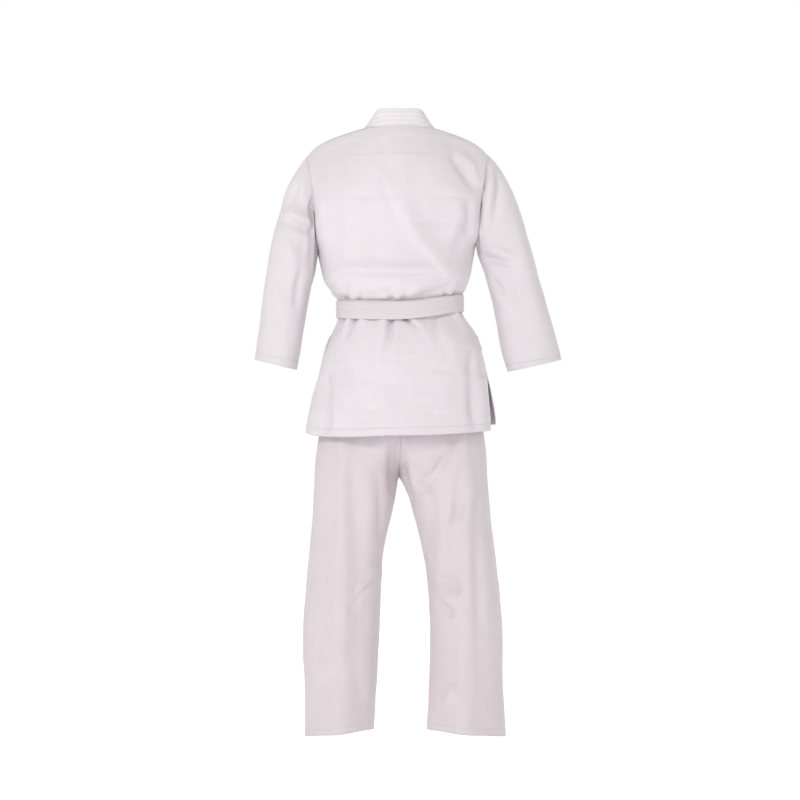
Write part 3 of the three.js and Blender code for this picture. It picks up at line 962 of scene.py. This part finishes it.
refine(jacket)
bm = bmesh.new()
bm.from_mesh(jacket.data)
for side, tip in ((1, place(213, 4, 1463)), (-1, place(-204, 4, 1463))):
    for vert in bm.verts:
        if vert.is_boundary:  # the open shoulder seam, rounded off towards the sleeve
            near = math.exp(-(((vert.co - tip).length / 0.03) ** 2))
            vert.co -= Vector((side * 0.75, 0, 0.65)) * 0.006 * near
    for reach in (0.045, 0.03, 0.02):
        inside = [vert for vert in bm.verts if (vert.co - tip).length < reach and not vert.is_boundary]
        for _ in range(4):
            bmesh.ops.smooth_vert(
                bm, verts=inside, factor=0.5, use_axis_x=True, use_axis_y=True, use_axis_z=True
            )
bm.to_mesh(jacket.data)
bm.free()
crumple(jacket, jacketFolds, 3.0)
jacketCloths = [backCloth, frontCloth, frontCloth, sleeveCloth, sleeveCloth]
pieces = split(jacket, jacketParts, jacketSizes["thickness"], jacketCloths)
refine(trousers)
crumple(trousers, legFolds, 2.5)
trouserParts = ["trousers_left", "trousers_right"]
pieces |= split(trousers, trouserParts, trouserSizes["thickness"], [trouserCloth, trouserCloth])
print("cloth finished")

for name, body in (
    ("jacket_back", "back_flap"),
    ("jacket_left_front", "front_flap"),
    ("jacket_right_front", "under_flap"),
):
    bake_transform(pieces[name])
for name, body, side in (
    ("jacket_left_sleeve", "left_sleeve", 1),
    ("jacket_right_sleeve", "right_sleeve", -1),
):
    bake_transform(pieces[name])
for name, body in (("trousers_left", "left_leg"), ("trousers_right", "right_leg")):
    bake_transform(pieces[name])
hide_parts("back_panel", "back_flap")
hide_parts("left_front_panel", "front_flap")
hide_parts("right_front_panel", "under_flap")
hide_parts("left_sleeve")
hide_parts("right_sleeve")
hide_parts("left_seat", "left_leg", "crotch_gusset")
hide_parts("right_seat", "right_leg")

# The collar stands round the neck and runs down both free edges.
collarSizes = {
    "height": 32,
    "lapelAngle": 14,  # degrees round the body
    "halfAcross": 67,
    "halfDeep": 45,
    "thickness": 0.0045,  # metres
    "rowDepth": 0.0004,
}
lapelAngle = collarSizes["lapelAngle"]


underBelt = 0.19  # the rise where the collar ends and the lapel ends of the skirts begin


def lapelPoint(side, rise, v):
    across = edgeOf(rise)[0] + 1.6 - (lapelAngle + 1.6) * v
    point = frontPoint(side, across, rise)
    if side > 0:
        point = trunkPoint(-1, across, rise)
    out = Vector((point.x * 0.5, point.y, 0)).normalized()
    lift = 3.4
    if side > 0:
        lift = jacketSizes["layerGap"] * (1 - smooth(rise, 0.78, 0.92)) + 3.4
    return point + out * lift / 1000


def neckline(turn):  # up the left front's edge, round the back of the neck and down the right front's edge
    bend = 0.18
    low = 0.92
    if turn < bend:
        rise = lerp(low, 1, turn / bend)
        point = frontPoint(1, edgeOf(rise)[0], rise)
    elif turn > 1 - bend:
        rise = lerp(low, 1, (1 - turn) / bend)
        point = frontPoint(-1, edgeOf(rise)[0], rise)
    else:
        point = trunkPoint(1, lerp(25, -25, (turn - bend) / (1 - 2 * bend)), 1)
    outwards = (point - place(3, 8, 0)) * Vector((1, 1, 0))
    atSide = smooth(abs(turn - 0.5), 0.2, 0.3) * smooth(turn, 0, 0.1) * smooth(1 - turn, 0, 0.1)
    under = Vector((0, 0, 0.004 + 0.004 * atSide))
    return point + outwards.normalized() * (4.2 + 5 * atSide) / 1000 - under


def neckPoint(turn, v):
    angle = math.radians(lerp(110, -110, turn))
    drop = 32 * smooth(abs(angle), 1.55, 1.95)
    x = collarSizes["halfAcross"] * rounded(math.sin(angle), 0.7) + 1
    y = 8 + collarSizes["halfDeep"] * rounded(math.cos(angle), 0.75)
    top = place(x, y, 1523 - drop + collarSizes["height"])
    return neckline(turn).lerp(top, v)


def collarPoint(u, v):
    start = 0.42  # the share of the band that runs up each front
    join = 0.06
    neck = neckPoint(min(max((u - start) / (1 - 2 * start), 0), 1), v)
    low = underBelt
    top = 0.92  # near the shoulder
    left = lapelPoint(1, lerp(low, top, min(u / start, 1)), v)
    right = lapelPoint(-1, lerp(low, top, min((1 - u) / start, 1)), v)
    point = left.lerp(neck, smooth(u, start - join, start + join))
    return point.lerp(right, smooth(u, 1 - start - join, 1 - start + join))


# A firm band of cloth with stitched rows, which are pressed into its face as deep as sunk says, in metres.
def addBand(
    name, columns, rows, point, size, stitches, thickness, finish, offset=-1, closed=False, sunk=0.0007
):
    def pressed(u, v):
        step = 0.004
        along = point(min(u + step, 1), v) - point(max(u - step, 0), v)
        up = point(u, min(v + step, 1)) - point(u, max(v - step, 0))
        row = sum(math.exp(-(((v - s) * size[1] / 0.0011) ** 2)) for s in stitches)
        edge = math.exp(-((min(v, 1 - v) * size[1] / 0.0018) ** 2))
        pucker = 0.25 * noise.noise(Vector((u * size[0] * 30, v * 2, 1)))
        return point(u, v) - along.cross(up).normalized() * (sunk * row + 0.0012 * edge - 0.001 * pucker)

    bm = bmesh.new()
    addGrid(bm, columns, rows, 0, pressed, size)
    if closed:
        bmesh.ops.remove_doubles(bm, verts=bm.verts, dist=weldGap)
    return thickened(newObject(name, bm), thickness, finish, offset)


collar = addBand(
    "collar",
    260,
    26,
    collarPoint,
    (1.5, collarWidth),
    collarRows,
    collarSizes["thickness"],
    collarCloth,
    sunk=collarSizes["rowDepth"],
)
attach(collar, "torso")
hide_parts("collar_band")
for name, side, body, node in (
    ("left_lapel", 1, "front_flap", "left_lapel_end"),
    ("right_lapel", -1, "under_flap", "right_lapel_end"),
):
    low, top = (hemRise, underBelt) if side > 0 else (underBelt, hemRise)
    lapel = addBand(
        name,
        80,
        26,
        lambda u, v: lapelPoint(side, lerp(low, top, u), v),
        (0.3, collarWidth),
        collarRows,
        collarSizes["thickness"],
        collarCloth,
    )
    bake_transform(lapel)
    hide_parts(node)
print("collar made")

# The belt: two turns, two ends and a knot, in millimetres.
beltSizes = {
    "halfAcross": 143,
    "halfDeep": 115,
    "turnGap": 5,
    "width": 40,
    "turnThickness": 0.0032,  # metres
    "endThickness": 0.0045,
}


def beltPoint(wrap, u, v):
    turn = 2 * math.pi * u
    x = (beltSizes["halfAcross"] + beltSizes["turnGap"] * wrap) * math.cos(turn)
    y = -5 + (beltSizes["halfDeep"] + beltSizes["turnGap"] * wrap) * rounded(math.sin(turn), 0.8)
    ripple = 0.9 * math.sin(turn * 3 + wrap)
    return place(x, y, beltHeight(x) + (v - 0.5) * beltSizes["width"] + ripple - 2.5 * wrap)


for wrap, name in ((0, "belt_inner_turn"), (1, "belt_outer_turn")):
    belt = addBand(
        name,
        220,
        40,
        lambda u, v: beltPoint(wrap, u % 1, v),
        (0.85, beltWidth),
        (),
        beltSizes["turnThickness"],
        beltCloth,
        closed=True,
    )
    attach(belt, "torso")
    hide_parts(("belt_inner_wrap", "belt_outer_wrap")[wrap])

endLine = curveThrough(
    (0, 84, -169, 842),
    (0.3, 66, -164, 908),
    (0.6, 46, -156, 976),
    (0.85, 29, -150, 1040),
    (1, 14, -141, 1078),
)
for name, side in (("left_belt_tail", 1), ("right_belt_tail", -1)):

    def endPoint(u, v):
        x, y, z = endLine(v)
        wide = (u - 0.5) * beltSizes["width"] * lerp(1, 0.7, smooth(v, 0.85, 1))
        curl = 2.5 * math.sin(v * 5 + side) * (u - 0.5) + 1.5 * math.sin(v * 7 + side)
        return place(side * x + wide * 0.96, y - curl, z + side * wide * 0.27)

    tail = addBand(
        name,
        70,
        40,
        lambda u, v: endPoint(1 - v, u),
        (0.24, beltWidth),
        beltRows,
        beltSizes["endThickness"],
        beltCloth,
        0,
    )
    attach(tail, name.replace("tail", "end"))
    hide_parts(name.replace("tail", "end"))


knotSizes = {"middleY": -138, "height": 1096, "halfAcross": 33, "halfHigh": 16, "halfDeep": 8}


def knotPoint(u, v):  # the tucked belt inside the knot
    turn = 2 * math.pi * u
    tilt = math.pi * (v - 0.5)
    x = knotSizes["halfAcross"] * rounded(math.cos(tilt), 0.6) * rounded(math.cos(turn), 0.7)
    z = knotSizes["halfHigh"] * rounded(math.sin(tilt), 0.7)
    y = knotSizes["halfDeep"] * rounded(math.cos(tilt), 0.6) * rounded(math.sin(turn), 0.7)
    y *= 1 - 0.15 * math.cos(x / 4)
    return place(x, knotSizes["middleY"] + y, knotSizes["height"] + z + 0.12 * x)


def wrapPoint(u, v):  # one turn of belt over it, folded slantwise
    turn = 2 * math.pi * (u % 1)
    wide = (v - 0.5) * (34 - 6 * math.sin(turn))
    y = 11.5 * rounded(math.sin(turn), 0.75) * (1 - 0.25 * (2 * v - 1) ** 2)
    z = 20 * rounded(math.cos(turn), 0.75) * (1 - 0.08 * (2 * v - 1) ** 2)
    return place(wide - 0.3 * z, knotSizes["middleY"] - y, knotSizes["height"] + z + 0.3 * wide)


bm = bmesh.new()
addGrid(bm, 72, 48, 0, knotPoint, (0.2, 0.05))
bmesh.ops.remove_doubles(bm, verts=bm.verts, dist=weldGap)
bmesh.ops.recalc_face_normals(bm, faces=bm.faces)
knot = newObject("belt_knot_core", bm)
knot.data.materials.append(beltCloth)
wrap = addBand(
    "belt_knot_wrap", 90, 40, wrapPoint, (0.11, beltWidth), beltRows, 0.003, beltCloth, 0, True
)
for piece in (knot, wrap):
    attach(piece, "torso")
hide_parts("belt_knot")
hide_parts("belt_knot")
print("belt made")

# Pieces that the jacket mostly hides: waist band, cord loop, shoulder lining and vent patches.
casingSizes = {"halfAcross": 121, "halfDeep": 84, "bottom": 1053, "width": 37, "gathers": 46}


def casingPoint(u, v):
    turn = 2 * math.pi * (u % 1)
    gathered = 1.6 * math.sin(turn * casingSizes["gathers"]) * (0.4 + 0.6 * math.sin(math.pi * v))
    x = (casingSizes["halfAcross"] + gathered) * math.cos(turn)
    y = (casingSizes["halfDeep"] + gathered) * rounded(math.sin(turn), 0.8)
    return place(x, y, casingSizes["bottom"] + casingSizes["width"] * v)


edgeRows = (0.1, 0.9)
casing = addBand(
    "waist_band", 300, 10, casingPoint, (0.9, 0.038), edgeRows, 0.003, lightCloth, 0, True
)
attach(casing, "torso")
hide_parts("waist_casing")
loop = addBand(
    "cord_loop",
    8,
    20,
    lambda u, v: place(lerp(-7, 7, u), -88.5 - 3 * math.sin(math.pi * v), lerp(1058, 1080, v)),
    (0.014, 0.024),
    edgeRows,
    0.0018,
    lightCloth,
    0,
)
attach(loop, "torso")
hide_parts("drawcord_loop")
lining = addBand(
    "yoke_lining",
    80,
    30,
    lambda u, v: trunkPoint(1, lerp(58, -58, u), lerp(0.8, 0.97, v), worn, 12),
    (0.4, 0.13),
    (0.03, 0.06),
    0.0015,
    lightCloth,
    0,
)
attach(lining, "torso")
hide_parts("shoulder_lining")

bodyTrees = []
for name in ("jacket_back", "jacket_left_front", "jacket_right_front"):
    mesh = pieces[name].data
    corners = [vert.co for vert in mesh.vertices]
    bodyTrees.append(BVHTree.FromPolygons(corners, [face.vertices for face in mesh.polygons]))


def onCloth(point, lift):  # the nearest spot on the jacket's body, raised a little
    nearest = min((tree.find_nearest(point) for tree in bodyTrees), key=lambda hit: hit[3])
    out = Vector((point.x, point.y * 0.6, 0)).normalized()
    return nearest[0] + out * lift


for name, side in (("left_vent_reinforcement", 1), ("right_vent_reinforcement", -1)):

    def patchPoint(u, v):
        turn = side * lerp(-5, 5, u)
        face = 1 if turn * side > 0 else -1
        point = trunkPoint(face, side * (90 - abs(turn)), lerp(0.006, 0.068, v))
        return onCloth(point + Vector((side * 0.004, 0, 0)), 0.0007)

    patch = addBand(name, 12, 12, patchPoint, (0.03, 0.03), edgeRows, 0.0012, patchCloth, 1)
    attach(patch, "torso")
    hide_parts(name.replace("reinforcement", "patch"))
print("hidden pieces made")

# The studio: a white backdrop behind the wearer's front, a dimmer room in front, and a pale floor.
studio = {
    "behind": 1.0,
    "before": 0.66,
    "floorColour": (0.85, 0.85, 0.86, 1),
    "floorGlow": 0.42,
    "cameraDistance": 4.6,  # metres
    "cameraHeight": 1000,
    "aimHeight": 887,
    "widthSeen": 1.8536,  # metres at the wearer's middle
}
lamps = (
    ("key", 82, 1.2, (2.1, 4.0, 1.5)),  # name, watts, metres across, place
    ("fill", 14, 2.0, (-2.6, 3.8, 0.2)),
    ("front", 34, 2.0, (-2.4, -3.4, 0.9)),
)
world = bpy.data.worlds.new("studio")
scene.world = world
world.use_nodes = True
air = world.node_tree
backdrop = air.nodes["Background"]
backdrop.inputs["Color"].default_value = (1, 1, 1, 1)
direction = air.nodes.new("ShaderNodeTexCoord")
heading = air.nodes.new("ShaderNodeSeparateXYZ")
bright = air.nodes.new("ShaderNodeMapRange")
bright.inputs["From Min"].default_value = -0.9
bright.inputs["From Max"].default_value = -0.35
bright.inputs["To Min"].default_value = studio["behind"]
bright.inputs["To Max"].default_value = studio["before"]
air.links.new(direction.outputs["Generated"], heading.inputs[0])
air.links.new(heading.outputs["Y"], bright.inputs["Value"])
air.links.new(bright.outputs["Result"], backdrop.inputs["Strength"])

bm = bmesh.new()
bmesh.ops.create_grid(bm, x_segments=1, y_segments=1, size=30)
floor = newObject("floor", bm)
floor.location.z = -napeHeight / 1000
pale = bpy.data.materials.new("pale floor")
pale.use_nodes = True
ground = pale.node_tree.nodes["Principled BSDF"]
ground.inputs["Base Color"].default_value = studio["floorColour"]
ground.inputs["Roughness"].default_value = 0.9
ground.inputs["Emission Color"].default_value = (1, 1, 1, 1)
ground.inputs["Emission Strength"].default_value = studio["floorGlow"]
floor.data.materials.append(pale)

lens = bpy.data.cameras.new("camera")
camera = bpy.data.objects.new("camera", lens)
scene.collection.objects.link(camera)
scene.camera = camera
distance = studio["cameraDistance"]
camera.location = place(0, 0, studio["cameraHeight"]) + Vector((0, distance, 0))
aim = place(0, 0, studio["aimHeight"]) - camera.location
camera.rotation_euler = aim.to_track_quat("-Z", "Y").to_euler()
lens.sensor_width = 36
lens.lens = 36 * distance / studio["widthSeen"]

for name, energy, size, spot in lamps:
    light = bpy.data.lights.new(name, "AREA")
    light.shape = "DISK"
    light.size = size
    light.energy = energy
    lamp = bpy.data.objects.new(name, light)
    scene.collection.objects.link(lamp)
    lamp.location = spot
    lamp.rotation_euler = (place(0, 0, 1000) - lamp.location).to_track_quat("-Z", "Y").to_euler()
scene.view_settings.view_transform = "Standard"
print("studio ready")
